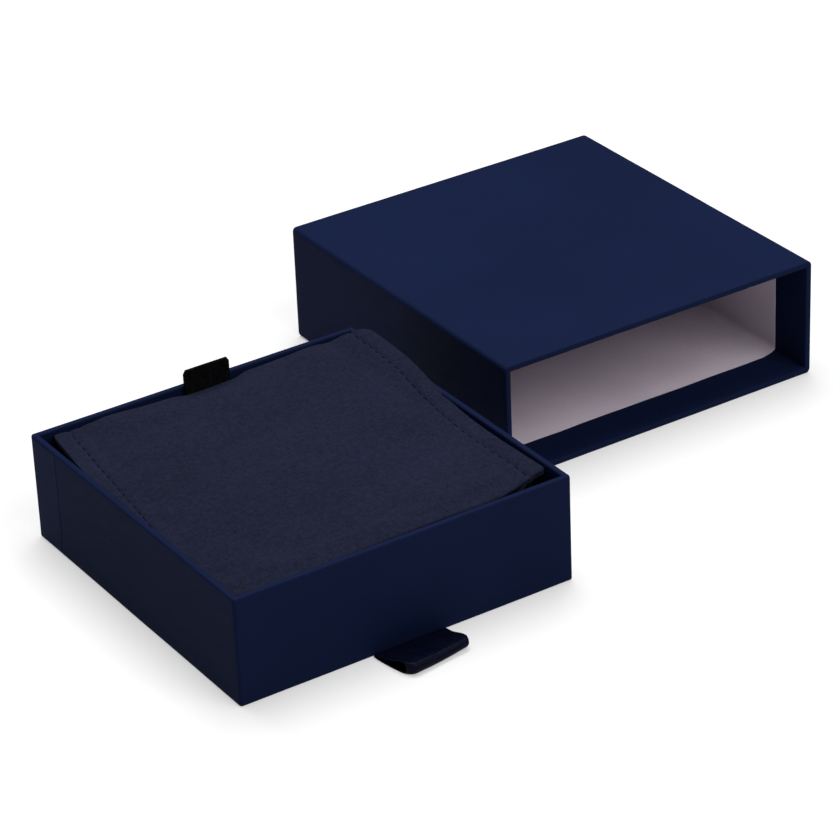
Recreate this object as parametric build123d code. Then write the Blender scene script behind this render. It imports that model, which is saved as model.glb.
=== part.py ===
from build123d import *
import os

# A rigid drawer box for jewelry: a slipcase sleeve, the drawer that slides into it, a foam
# insert that lifts out by a ribbon, and a soft padded pouch that lies on the insert.
# The drawer is stored taken out and stood on the table in front of the sleeve's left corner.
# Units are mm. +X runs along the drawer's front, +Y from its front to its back, +Z up.
# The origin is the centre of the whole set's outline, on the table.

# ------------------------------------------------------------------ papers and boards
PAPER = 0.15             # covering paper, one layer
LINING = 0.15            # pale lining paper inside the sleeve
BOARD = 1.2              # greyboard of the sleeve and the drawer
TAPE = 0.1               # gummed tape that holds the board's corners, let into the paper
TAPE_ARM = 8.0           # how far a tape reaches from its corner
WALL = BOARD + 2 * PAPER

# ------------------------------------------------------------------ drawer
DRAWER_W = 90.0
DRAWER_D = 93.0
DRAWER_H = 27.7
DRAWER_CORNER = 1.0      # radius of the four upright corners
LAP = 11.6               # end of the covering paper, lapped round the back left corner
BASE_INSET = 0.4         # the paper under the base stops this far inside the edge
FLOOR_CARD = 0.8
FLOOR_PLAY = 0.1

# ------------------------------------------------------------------ pull ribbon, on the front
PULL_W = 18.0
PULL_T = 0.3
PULL_OUT = 12.5          # how far the loop stands out from the front
PULL_THICK = 2.8         # height of the loop at its outer fold
PULL_TAIL = 12.0         # glued length inside
PULL_X = -0.5            # centre of the ribbon, from the drawer's middle
PULL_ROOT_GAP = 0.3      # the free loop starts this far outside the front
CHANNEL_PLAY = 0.2       # channel round the ribbon, each side
CHANNEL_HEADROOM = 0.1

# ------------------------------------------------------------------ sleeve
SIDE_PLAY = 0.25         # drawer to sleeve, each side
LID_PLAY = 0.95          # drawer to sleeve, over the rim
DEPTH_PLAY = 2.2         # the closed drawer stops this far inside the mouth
SLEEVE_EDGE = 1.2        # radius of the four long edges
TURN_IN = 11.0           # covering paper folded into the mouth
BACK_TURN = 8.0          # covering paper folded over the back
SLEEVE_W = DRAWER_W + 2 * SIDE_PLAY + 2 * (PAPER + BOARD + LINING)
SLEEVE_H = DRAWER_H + LID_PLAY + 2 * (PAPER + BOARD + LINING)
SLEEVE_D = DRAWER_D + DEPTH_PLAY + PAPER + BOARD + LINING

# ------------------------------------------------------------------ insert
INSERT_PLAY = 0.5        # insert to drawer wall, each side
INSERT_CARD = 0.8
INSERT_TOP = 20.6
COVER = 0.5              # flocked cloth over the foam
REST = 0.1               # air under a piece that lifts out
LIFT_W = 12.0
LIFT_T = 0.8             # ribbon folded double
LIFT_FOOT_T = 0.4
LIFT_FOOT = 10.0         # glued length under the card
LIFT_RISE = 4.7          # how far the tab shows over the drawer's rim
LIFT_X = 2.0             # centre of the tab, from the drawer's middle
LIFT_PLAY = 0.2

# ------------------------------------------------------------------ pouch
POUCH_W = 86.0
POUCH_D = 84.0
POUCH_TURN = -3.5        # degrees that the pouch lies askew in the drawer
POUCH_X = 1.0            # centre of the pouch, from the drawer's middle
POUCH_Y = -1.9
POUCH_CORNER = 4.0
POUCH_SUEDE = 0.9
POUCH_SINK = 0.4         # how far the pouch lies under the drawer's rim
POUCH_SEAM = 4.0         # stitched allowance at the left and right sides
POUCH_MOUTH = 0.6        # how far the front edges part
SOFT_PLAY = 0.3          # pouch to drawer
STITCH = 2.4
STITCH_PITCH = 3.2
STITCH_W = 0.35
STITCH_H = 0.15

# ------------------------------------------------------------------ where the two boxes stand
SIDE_GAP = 13.6          # drawer's right side to the sleeve's left side
STEP_BACK = 45.8         # sleeve's mouth behind the drawer's front

SET_W = PAPER + DRAWER_W + SIDE_GAP + SLEEVE_W
SET_D = PULL_OUT + STEP_BACK + SLEEVE_D
DRAWER_AT = Pos(-SET_W / 2 + PAPER + DRAWER_W / 2, -SET_D / 2 + PULL_OUT + DRAWER_D / 2, 0)
SLEEVE_AT = Pos(SET_W / 2 - SLEEVE_W / 2, SET_D / 2 - SLEEVE_D / 2, 0)

CUT = 5.0                # how far a cutting solid runs past what it cuts


def block(width, depth, low, high, x=0.0, y=0.0):
    """A plain block centred on a point of the plan, from one height to another."""
    up_from_base = (Align.CENTER, Align.CENTER, Align.MIN)
    return Pos(x, y, low) * Box(width, depth, high - low, align=up_from_base)


def upright(width, depth, low, high, radius):
    """A block with its four upright edges rounded."""
    return Pos(0, 0, low) * extrude(RectangleRounded(width, depth, radius), high - low)


def tunnel(width, height, front, back, middle, radius):
    """A block with its four long edges rounded, running from one depth to another."""
    outline = Plane.XZ.offset(-front) * Pos(0, middle) * RectangleRounded(width, height, radius)
    return extrude(outline, front - back)


# ------------------------------------------------------------------ drawer pieces
base_top = PAPER + BOARD
floor_top = base_top + FLOOR_CARD
inner_w = DRAWER_W - 2 * WALL
inner_d = DRAWER_D - 2 * WALL
front_y = -DRAWER_D / 2
blank_w = DRAWER_W - 2 * PAPER
blank_d = DRAWER_D - 2 * PAPER
blank_radius = DRAWER_CORNER - PAPER


def pull_channel():
    """The channel pressed into the underside of the base, where the pull ribbon is glued."""
    top = PAPER + 2 * PULL_T + CHANNEL_HEADROOM
    return block(PULL_W + 2 * CHANNEL_PLAY, 2 * (PULL_TAIL + CHANNEL_PLAY), PAPER, top,
                 PULL_X, front_y)


def drawer_board():
    """Base and four walls, scored and folded up from one blank of greyboard."""
    blank = upright(blank_w, blank_d, PAPER, DRAWER_H - PAPER, blank_radius)
    hollow = block(blank_w - 2 * BOARD, blank_d - 2 * BOARD, base_top, DRAWER_H)
    return blank - hollow - pull_channel()


def drawer_corner_tapes():
    """Four gummed tapes that hold the folded corners."""
    low, high = PAPER + 1.0, DRAWER_H - PAPER - 1.0
    around = upright(blank_w + 2 * TAPE, blank_d + 2 * TAPE, low, high, blank_radius + TAPE)
    ring = around - upright(blank_w, blank_d, PAPER, DRAWER_H, blank_radius)
    tapes = []
    for side in (-1, 1):
        for end in (-1, 1):
            reach = block(2 * TAPE_ARM, 2 * TAPE_ARM, 0, DRAWER_H,
                          side * DRAWER_W / 2, end * DRAWER_D / 2)
            tapes += (ring & reach).solids()
    return Compound(tapes)


def drawer_wrap(tapes):
    """Covering paper: round the outside, over the rim and down the inside."""
    skin = upright(DRAWER_W, DRAWER_D, PAPER, DRAWER_H, DRAWER_CORNER)
    skin -= upright(blank_w, blank_d, 0, DRAWER_H - PAPER, blank_radius)
    skin -= block(inner_w, inner_d, 0, DRAWER_H + CUT)
    inside = block(blank_w - 2 * BOARD, blank_d - 2 * BOARD, floor_top, DRAWER_H - PAPER)
    inside -= block(inner_w, inner_d, 0, DRAWER_H + CUT)
    lap_length = LAP - DRAWER_CORNER
    lap = block(PAPER, lap_length, PAPER, DRAWER_H - 2 * PAPER,
                -DRAWER_W / 2 - PAPER / 2, DRAWER_D / 2 - DRAWER_CORNER - lap_length / 2)
    return skin + inside + lap - pull_channel() - tapes


def drawer_base_sheet():
    """Paper glued under the base, which the drawer stands on."""
    return upright(DRAWER_W - 2 * BASE_INSET, DRAWER_D - 2 * BASE_INSET, 0, PAPER,
                   DRAWER_CORNER)


def pull_ribbon_tails():
    """The ribbon's two ends, one on the other, glued under the base."""
    return block(PULL_W, PULL_TAIL, PAPER, PAPER + 2 * PULL_T, PULL_X,
                 front_y + PULL_TAIL / 2)


def drawer_floor_card():
    """Paper-covered card on the drawer's floor."""
    return block(blank_w - 2 * BOARD - 2 * FLOOR_PLAY, blank_d - 2 * BOARD - 2 * FLOOR_PLAY,
                 base_top, floor_top)


def pull_ribbon_loop():
    """The free loop in front of the drawer, lying on the table."""
    root = front_y - PULL_ROOT_GAP
    tip = front_y - PULL_OUT
    fold = PULL_THICK / 2
    low_root, high_root = PAPER, PAPER + 2 * PULL_T
    bend = tip + PULL_OUT * 0.6
    outer = [(root, low_root), (bend, 0), (tip + fold, 0)]
    upper = [(tip + fold, PULL_THICK), (bend, PULL_THICK), (root, high_root)]
    rim = Polyline(*outer) + ThreePointArc(outer[-1], (tip, fold), upper[0]) + Polyline(*upper)
    section = make_face(rim + Line(upper[-1], outer[0]))
    hollow_low = [(bend + PULL_T, PULL_T), (tip + fold, PULL_T)]
    hollow_high = [(tip + fold, PULL_THICK - PULL_T), (bend + PULL_T, PULL_THICK - PULL_T)]
    waist = (root - 2 * PULL_T, (low_root + high_root) / 2)
    inside = Polyline(waist, *hollow_low)
    inside += ThreePointArc(hollow_low[-1], (tip + PULL_T, fold), hollow_high[0])
    inside += Polyline(*hollow_high, waist)
    band = Plane.YZ * (section - make_face(inside))
    return Pos(PULL_X, 0, 0) * extrude(band, PULL_W / 2, both=True)


# ------------------------------------------------------------------ insert pieces
insert_low = floor_top + REST
card_top = insert_low + INSERT_CARD
insert_w = inner_w - 2 * INSERT_PLAY
insert_d = inner_d - 2 * INSERT_PLAY
insert_back = insert_d / 2


def lift_ribbon():
    """Black ribbon folded double: a tab behind the insert, with its foot under the card."""
    tab_y = insert_back - LIFT_T / 2
    top = DRAWER_H + LIFT_RISE
    tab = block(LIFT_W, LIFT_T, insert_low, top, LIFT_X, tab_y)
    tab = fillet(tab.edges().filter_by(Axis.X).group_by(Axis.Z)[-1], LIFT_T * 0.45)
    foot = block(LIFT_W, LIFT_FOOT, insert_low, insert_low + LIFT_FOOT_T, LIFT_X,
                 insert_back - LIFT_FOOT / 2)
    return tab + foot


def lift_room():
    """The space that the tab takes at the insert's back."""
    return block(LIFT_W + 2 * LIFT_PLAY, 2 * (LIFT_T + LIFT_PLAY), 0, DRAWER_H, LIFT_X,
                 insert_back)


def insert_card(ribbon):
    """Stiff card under the foam, recessed for the ribbon's foot."""
    return block(insert_w, insert_d, insert_low, card_top) - lift_room() - ribbon


def insert_foam():
    """Foam block that fills the drawer below the pouch."""
    foam = block(insert_w - 2 * COVER, insert_d - 2 * COVER, card_top, INSERT_TOP - COVER)
    room = block(LIFT_W + 2 * (LIFT_PLAY + COVER), 2 * (LIFT_T + LIFT_PLAY + COVER), 0,
                 DRAWER_H, LIFT_X, insert_back)
    return foam - room


def insert_cover(foam):
    """Flocked cloth over the top and sides of the foam."""
    return block(insert_w, insert_d, card_top, INSERT_TOP) - foam - lift_room()


# ------------------------------------------------------------------ pouch pieces
pouch_low = INSERT_TOP + REST
pouch_top = DRAWER_H - POUCH_SINK
POUCH_AT = Pos(POUCH_X, POUCH_Y, 0) * Rot(0, 0, POUCH_TURN)
pad_w = POUCH_W - 2 * POUCH_SEAM - 2 * POUCH_SUEDE
pad_d = POUCH_D - POUCH_SEAM - 2 * POUCH_SUEDE
pad_y = (POUCH_SEAM - POUCH_SUEDE) / 2


def pouch_shell(pad):
    """One strip of suede folded at the back and closed at both sides, open at the front."""
    plan = POUCH_AT * upright(POUCH_W, POUCH_D, pouch_low, pouch_top, POUCH_CORNER)
    room = block(inner_w - 2 * SOFT_PLAY, inner_d - 2 * SOFT_PLAY, pouch_low, pouch_top)
    middle = (pouch_low + pouch_top) / 2
    mouth = block(pad_w, POUCH_D, middle - POUCH_MOUTH / 2, middle + POUCH_MOUTH / 2, 0,
                  pad_y - POUCH_D / 2)
    return (plan & room) - pad - POUCH_AT * mouth


def pouch_pad():
    """Soft wadding in the pocket."""
    pad = block(pad_w, pad_d, pouch_low + POUCH_SUEDE, pouch_top - POUCH_SUEDE, 0, pad_y)
    return POUCH_AT * pad


def pouch_stitches():
    """Two rows of thread along the side seams."""
    run = POUCH_D - 2 * POUCH_CORNER
    count = int(run / STITCH_PITCH)
    row_x = POUCH_W / 2 - POUCH_SEAM
    stitches = []
    for side in (-1, 1):
        for index in range(count):
            y = (index - (count - 1) / 2) * STITCH_PITCH
            stitch = block(STITCH_W, STITCH, pouch_top, pouch_top + STITCH_H, side * row_x, y)
            stitches.append(POUCH_AT * stitch)
    return Compound(stitches)


# ------------------------------------------------------------------ sleeve pieces
mouth_y = -SLEEVE_D / 2
back_y = SLEEVE_D / 2
mid_z = SLEEVE_H / 2
core_w = SLEEVE_W - 2 * PAPER
core_h = SLEEVE_H - 2 * PAPER
core_radius = SLEEVE_EDGE - PAPER
bore_w = core_w - 2 * BOARD
bore_h = core_h - 2 * BOARD
sharp = 0.01             # the bore's folded corners are all but sharp


def sleeve_board():
    """Greyboard grooved and folded into a tube."""
    tube = tunnel(core_w, core_h, mouth_y + PAPER, back_y - PAPER, mid_z, core_radius)
    return tube - tunnel(bore_w, bore_h, mouth_y - CUT, back_y + CUT, mid_z, sharp)


def sleeve_back_board():
    """Greyboard panel glued into the tube's back end."""
    return tunnel(bore_w, bore_h, back_y - PAPER - BOARD, back_y - PAPER, mid_z, sharp)


def sleeve_seam_tape():
    """Gummed tape along the tube's closing corner, at the lower left."""
    front, back = mouth_y + PAPER + 2.0, back_y - PAPER - 2.0
    around = tunnel(core_w + 2 * TAPE, core_h + 2 * TAPE, front, back, mid_z,
                    core_radius + TAPE)
    ring = around - tunnel(core_w, core_h, mouth_y, back_y, mid_z, core_radius)
    return ring & block(2 * TAPE_ARM, SLEEVE_D, -TAPE_ARM, TAPE_ARM, -SLEEVE_W / 2)


def sleeve_wrap(tape):
    """Covering paper: four sides, the mouth's edge, turned in at the mouth and at the back."""
    skin = tunnel(SLEEVE_W, SLEEVE_H, mouth_y, back_y, mid_z, SLEEVE_EDGE)
    skin -= tunnel(core_w, core_h, mouth_y + PAPER, back_y - PAPER, mid_z, core_radius)
    lined_w, lined_h = bore_w - 2 * PAPER, bore_h - 2 * PAPER
    skin -= tunnel(lined_w, lined_h, mouth_y - CUT, mouth_y + CUT, mid_z, sharp)
    skin -= back_window()
    turned = tunnel(bore_w, bore_h, mouth_y + PAPER, mouth_y + TURN_IN, mid_z, sharp)
    turned -= tunnel(lined_w, lined_h, mouth_y - CUT, back_y, mid_z, sharp)
    return skin + turned - tape


def back_window():
    """The part of the back that the folded-over paper leaves bare."""
    return block(SLEEVE_W - 2 * BACK_TURN, 2 * PAPER, BACK_TURN, SLEEVE_H - BACK_TURN, 0, back_y)


def sleeve_back_paper():
    """Paper panel that finishes the back."""
    return back_window() & block(SLEEVE_W, PAPER, 0, SLEEVE_H, 0, back_y - PAPER / 2)


def sleeve_liner():
    """Pale paper on the four inner walls and the inner end."""
    end = back_y - PAPER - BOARD
    lining = tunnel(bore_w, bore_h, mouth_y + TURN_IN, end, mid_z, sharp)
    return lining - tunnel(bore_w - 2 * LINING, bore_h - 2 * LINING, mouth_y, end - LINING,
                           mid_z, sharp)


# ------------------------------------------------------------------ all the pieces
def drawer_pieces():
    tapes = drawer_corner_tapes()
    pad = pouch_pad()
    foam = insert_foam()
    ribbon = lift_ribbon()
    return {
        "drawer_board": drawer_board(),
        "drawer_corner_tapes": tapes,
        "drawer_wrap": drawer_wrap(tapes),
        "drawer_base_sheet": drawer_base_sheet(),
        "drawer_floor_card": drawer_floor_card(),
        "pull_ribbon_tails": pull_ribbon_tails(),
        "pull_ribbon_loop": pull_ribbon_loop(),
        "insert_card": insert_card(ribbon),
        "insert_foam": foam,
        "insert_cover": insert_cover(foam),
        "lift_ribbon": ribbon,
        "pouch_shell": pouch_shell(pad),
        "pouch_pad": pad,
        "pouch_stitches": pouch_stitches(),
    }


def sleeve_pieces():
    tape = sleeve_seam_tape()
    return {
        "sleeve_board": sleeve_board(),
        "sleeve_back_board": sleeve_back_board(),
        "sleeve_seam_tape": tape,
        "sleeve_wrap": sleeve_wrap(tape),
        "sleeve_back_paper": sleeve_back_paper(),
        "sleeve_liner": sleeve_liner(),
    }


os.makedirs("parts", exist_ok=True)
for place, pieces in ((DRAWER_AT, drawer_pieces()), (SLEEVE_AT, sleeve_pieces())):
    for node, shape in pieces.items():
        export_step(place * shape, f"parts/{node}.step")
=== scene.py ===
"""Jewelry gift box: its finishes, papers, ribbons and soft pouch, made round the packed model.

Laid out as an add-on: settings, one operator for each piece or group of like pieces, a panel
in the 3D view's sidebar, and a main function that makes everything in order.
Lengths are in metres. Plan sizes of soft pieces are measured in millimetres from the drawer's
front left corner and turned into metres where they are used.
"""
import math

import bmesh
import bpy
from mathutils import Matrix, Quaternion, Vector, noise


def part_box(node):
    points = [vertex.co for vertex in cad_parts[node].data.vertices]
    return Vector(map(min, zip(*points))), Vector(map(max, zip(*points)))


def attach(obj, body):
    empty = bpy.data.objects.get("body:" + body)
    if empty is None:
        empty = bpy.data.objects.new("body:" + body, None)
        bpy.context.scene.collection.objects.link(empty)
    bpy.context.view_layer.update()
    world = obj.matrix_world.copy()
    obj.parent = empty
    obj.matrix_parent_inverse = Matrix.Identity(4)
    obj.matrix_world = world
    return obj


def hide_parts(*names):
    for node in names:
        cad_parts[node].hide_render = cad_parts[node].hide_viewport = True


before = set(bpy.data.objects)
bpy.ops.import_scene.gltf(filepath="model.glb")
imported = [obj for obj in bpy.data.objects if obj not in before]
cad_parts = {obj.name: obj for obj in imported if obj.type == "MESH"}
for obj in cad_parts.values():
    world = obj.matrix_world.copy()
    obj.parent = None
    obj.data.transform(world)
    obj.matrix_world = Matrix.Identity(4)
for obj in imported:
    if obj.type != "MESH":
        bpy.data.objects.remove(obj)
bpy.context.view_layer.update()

bl_info = {
    "name": "Jewelry Gift Box",
    "version": (1, 0, 0),
    "blender": (4, 5, 0),
    "location": "View3D > Sidebar > Gift Box",
    "description": "Builds the finishes and soft parts of a paper-covered drawer box",
    "category": "Object",
}

MM = 0.001


# ------------------------------------------------------------------ places from the frame
def box_of(node):
    """Lowest and highest corner of a node at rest."""
    low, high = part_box(node)
    return Vector(low), Vector(high)


PAPER = box_of("sleeve_back_paper")[1].y - box_of("sleeve_back_paper")[0].y
BOARD = box_of("sleeve_back_board")[1].y - box_of("sleeve_back_board")[0].y
WALL = BOARD + 2 * PAPER
LIFT = 0.07 * MM                # covering paper stands this far over the boards' own wrap
SKIN = Vector((PAPER, PAPER, 0))
DRAWER_LOW = box_of("drawer_board")[0] - SKIN
DRAWER_HIGH = box_of("drawer_board")[1] + SKIN
DRAWER_TOP = box_of("drawer_wrap")[1].z
DRAWER_FLOOR = box_of("drawer_floor_card")[1].z
SLEEVE_LOW, SLEEVE_HIGH = box_of("sleeve_wrap")
LINER_HIGH = box_of("sleeve_liner")[1]


def from_corner(x, y, z):
    """A place given in mm from the drawer's front left corner on the table."""
    return Vector((DRAWER_LOW.x + x * MM, DRAWER_LOW.y + y * MM, z * MM))


# ------------------------------------------------------------------ settings
class GiftBoxPaperSettings(bpy.types.PropertyGroup):
    """Covering paper and lining."""
    colour: bpy.props.FloatVectorProperty(
        name="Covering Colour", description="Colour of the covering paper",
        subtype="COLOR", size=3, min=0, max=1, default=(0.0044, 0.0080, 0.0285))
    lining: bpy.props.FloatVectorProperty(
        name="Lining Colour", description="Colour of the paper inside the sleeve",
        subtype="COLOR", size=3, min=0, max=1, default=(0.53, 0.465, 0.53))
    long_edge: bpy.props.FloatProperty(
        name="Long Edge Radius", description="Radius of the sleeve's four long edges",
        subtype="DISTANCE", unit="LENGTH", default=1.2 * MM)
    mouth_edge: bpy.props.FloatProperty(
        name="Mouth Edge Radius", description="Radius of the covered edge round the mouth",
        subtype="DISTANCE", unit="LENGTH", default=0.45 * MM)
    turn_in: bpy.props.FloatProperty(
        name="Turn-in", description="Covering paper folded into the mouth",
        subtype="DISTANCE", unit="LENGTH", default=11.0 * MM)
    back_turn: bpy.props.FloatProperty(
        name="Back Turn", description="Covering paper folded over the back",
        subtype="DISTANCE", unit="LENGTH", default=8.0 * MM)
    drawer_corner: bpy.props.FloatProperty(
        name="Drawer Corner Radius", description="Radius of the drawer's upright corners",
        subtype="DISTANCE", unit="LENGTH", default=0.7 * MM)
    rim_edge: bpy.props.FloatProperty(
        name="Rim Radius", description="Radius of the drawer's covered rim",
        subtype="DISTANCE", unit="LENGTH", default=0.6 * MM)
    lap: bpy.props.FloatProperty(
        name="Paper Lap", description="End of the paper, lapped onto the left wall",
        subtype="DISTANCE", unit="LENGTH", default=11.6 * MM)
    bow: bpy.props.FloatProperty(
        name="Unevenness", description="How far hand-covered board strays from flat",
        subtype="DISTANCE", unit="LENGTH", default=0.05 * MM)


class GiftBoxPouchSettings(bpy.types.PropertyGroup):
    """The soft suede pouch."""
    colour: bpy.props.FloatVectorProperty(
        name="Suede Colour", description="Colour of the brushed suede",
        subtype="COLOR", size=3, min=0, max=1, default=(0.0072, 0.0088, 0.0205))
    suede: bpy.props.FloatProperty(
        name="Suede Thickness", description="Thickness of one layer",
        subtype="DISTANCE", unit="LENGTH", default=0.62 * MM)
    seam: bpy.props.FloatProperty(
        name="Seam Allowance", description="From the side edge to its row of stitches",
        subtype="DISTANCE", unit="LENGTH", default=4.3 * MM)
    plump: bpy.props.FloatProperty(
        name="Plumpness", description="How far the padded middle stands over the seams",
        subtype="DISTANCE", unit="LENGTH", default=0.7 * MM)
    settle: bpy.props.FloatProperty(
        name="Settling", description="How far the suede may move when it settles",
        subtype="DISTANCE", unit="LENGTH", default=0.9 * MM)
    slack: bpy.props.FloatProperty(
        name="Slack", description="Spare cloth that falls into soft waves",
        subtype="FACTOR", default=0.02)
    stitch: bpy.props.FloatProperty(
        name="Stitch Length", description="Length of thread that shows",
        subtype="DISTANCE", unit="LENGTH", default=2.1 * MM)
    stitch_pitch: bpy.props.FloatProperty(
        name="Stitch Pitch", description="From one stitch to the next",
        subtype="DISTANCE", unit="LENGTH", default=3.0 * MM)
    thread: bpy.props.FloatProperty(
        name="Thread Width", description="Width of the thread",
        subtype="DISTANCE", unit="LENGTH", default=0.42 * MM)


class GiftBoxRibbonSettings(bpy.types.PropertyGroup):
    """The pull ribbon and the insert's tab."""
    # The pull ribbon's colour is kept darker than its own navy: painted shade, for the front
    # wall's shadow on the ribbon.
    colour: bpy.props.FloatVectorProperty(
        name="Pull Ribbon Colour", description="Colour of the satin pull ribbon",
        subtype="COLOR", size=3, min=0, max=1, default=(0.0014, 0.0020, 0.0080))
    thickness: bpy.props.FloatProperty(
        name="Pull Ribbon Thickness", description="Thickness of one layer",
        subtype="DISTANCE", unit="LENGTH", default=0.3 * MM)
    rib: bpy.props.FloatProperty(
        name="Tab Rib Pitch", description="From one rib of the black ribbon to the next",
        subtype="DISTANCE", unit="LENGTH", default=0.40 * MM)


class GiftBoxStageSettings(bpy.types.PropertyGroup):
    """Floor, lights and camera."""
    azimuth: bpy.props.FloatProperty(
        name="Azimuth", description="Where the camera stands round the box",
        subtype="ANGLE", unit="ROTATION", default=math.radians(-32.362))
    elevation: bpy.props.FloatProperty(
        name="Elevation", description="How far the camera looks down",
        subtype="ANGLE", unit="ROTATION", default=math.radians(28.970))
    roll: bpy.props.FloatProperty(
        name="Roll", description="How far the camera is tipped to its side",
        subtype="ANGLE", unit="ROTATION", default=math.radians(-2.423))
    distance: bpy.props.FloatProperty(
        name="Distance", description="From the camera to what it looks at",
        subtype="DISTANCE", unit="LENGTH", default=0.89675)
    lens: bpy.props.FloatProperty(
        name="Lens", description="Focal length in mm", subtype="DISTANCE_CAMERA",
        default=158.03)
    target: bpy.props.FloatVectorProperty(
        name="Target", description="What the camera looks at", subtype="XYZ", unit="LENGTH",
        size=3, default=(-8.134 * MM, -1.162 * MM, 14.0 * MM))
    floor: bpy.props.FloatVectorProperty(
        name="Floor Colour", description="Colour of the plain floor", subtype="COLOR",
        size=3, min=0, max=1, default=(0.38, 0.38, 0.38))


SETTINGS = {
    "gift_box_paper": GiftBoxPaperSettings,
    "gift_box_pouch": GiftBoxPouchSettings,
    "gift_box_ribbon": GiftBoxRibbonSettings,
    "gift_box_stage": GiftBoxStageSettings,
}


# ------------------------------------------------------------------ small sums
def mix(a, b, share):
    """The value a share of the way from a to b."""
    return a + (b - a) * share


def ease(low, high, value):
    """0 under low, 1 over high, and a smooth rise between them."""
    share = min(max((value - low) / (high - low), 0.0), 1.0)
    return share * share * (3 - 2 * share)


def spaced(start, end, steps):
    """Evenly spaced numbers, both ends included."""
    return [mix(start, end, step / steps) for step in range(steps + 1)]


def arc(centre, radius, start, end, steps):
    """Points on an arc of a flat profile, angles in degrees."""
    angles = [math.radians(a) for a in spaced(start, end, steps)]
    return [(centre[0] + radius * math.cos(a), centre[1] + radius * math.sin(a))
            for a in angles]


def run(start, end, steps):
    """Points between two profile points, without the two."""
    return [(mix(start[0], end[0], s), mix(start[1], end[1], s))
            for s in spaced(0, 1, steps)[1:-1]]


def uneven(place, amount, wavelength, seed):
    """A gentle drift of a surface point, the same for points that lie close together."""
    offset = Vector((seed * 7.3, seed * 3.1, seed * 5.7))
    return noise.noise_vector(place / wavelength + offset) * amount


# ------------------------------------------------------------------ shader trees
class NodeTree:
    """Adds nodes to a tree and joins them."""

    def __init__(self, tree):
        self.tree = tree

    def add(self, kind, values=None, **settings):
        """A new node with its settings. A socket's value may be another node's socket."""
        node = self.tree.nodes.new(kind)
        for key, value in settings.items():
            setattr(node, key, value)
        for socket, value in (values or {}).items():
            if isinstance(value, bpy.types.NodeSocket):
                self.tree.links.new(value, node.inputs[socket])
            else:
                node.inputs[socket].default_value = value
        return node

    def math(self, operation, first, second=0.0, third=0.0, clamp=False):
        """One sum on numbers or sockets."""
        node = self.add("ShaderNodeMath", {0: first, 1: second, 2: third},
                        operation=operation, use_clamp=clamp)
        return node.outputs[0]

    def vector_math(self, operation, first, second=(0, 0, 0)):
        """One sum on vectors."""
        node = self.add("ShaderNodeVectorMath", {0: first, 1: second}, operation=operation)
        return node.outputs[0]

    def noise(self, vector, scale, detail=2.0, roughness=0.5):
        """Smooth noise at a place."""
        node = self.add("ShaderNodeTexNoise", {"Vector": vector, "Scale": scale,
                                               "Detail": detail, "Roughness": roughness})
        return node.outputs[0]

    def remap(self, value, low, high, to_low=0.0, to_high=1.0):
        """A value carried smoothly from one range to another."""
        node = self.add("ShaderNodeMapRange", {0: value, 1: low, 2: high, 3: to_low,
                                               4: to_high}, interpolation_type="SMOOTHSTEP")
        return node.outputs[0]

    def blend(self, share, first, second, mode="MIX"):
        """One colour blended into another."""
        node = self.add("ShaderNodeMix", {0: share, 6: first, 7: second}, data_type="RGBA",
                        blend_type=mode)
        return node.outputs[2]


def shader_group(name, inputs, outputs):
    """A new shader node group with named sockets. Returns its tree, inputs and output node."""
    tree = bpy.data.node_groups.new(name, "ShaderNodeTree")
    for label, (kind, default) in inputs.items():
        socket = tree.interface.new_socket(label, in_out="INPUT", socket_type=kind)
        if default is not None:
            socket.default_value = default
    for label in outputs:
        tree.interface.new_socket(label, in_out="OUTPUT", socket_type="NodeSocketFloat")
    nodes = NodeTree(tree)
    return nodes, nodes.add("NodeGroupInput").outputs, nodes.add("NodeGroupOutput").inputs


def frequency(nodes, size_mm):
    """Texture scale for features of a size in mm."""
    return nodes.math("DIVIDE", 1.0 / MM, size_mm)


def paper_grain_group():
    """Fine tooth of covering paper, with a few longer fibres and a slow change of tone."""
    nodes, into, out = shader_group(
        "Paper Grain",
        {"Vector": ("NodeSocketVector", None), "Grain Size": ("NodeSocketFloat", 0.35),
         "Fibre Length": ("NodeSocketFloat", 2.2), "Blotch Size": ("NodeSocketFloat", 22.0)},
        ("Height", "Tone"))
    tooth = nodes.noise(into["Vector"], frequency(nodes, into["Grain Size"]), 3.0, 0.6)
    stretched = nodes.vector_math("MULTIPLY", into["Vector"], (1.0, 0.22, 1.0))
    fibre = nodes.noise(stretched, frequency(nodes, into["Fibre Length"]), 4.0, 0.7)
    blotch = nodes.noise(into["Vector"], frequency(nodes, into["Blotch Size"]), 2.0, 0.5)
    height = nodes.math("MULTIPLY_ADD", fibre, 0.35, nodes.math("MULTIPLY", tooth, 0.65))
    tone = nodes.math("MULTIPLY_ADD", blotch, 0.6, nodes.math("MULTIPLY", tooth, 0.4))
    nodes.tree.links.new(height, out["Height"])
    nodes.tree.links.new(tone, out["Tone"])
    return nodes.tree


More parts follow.
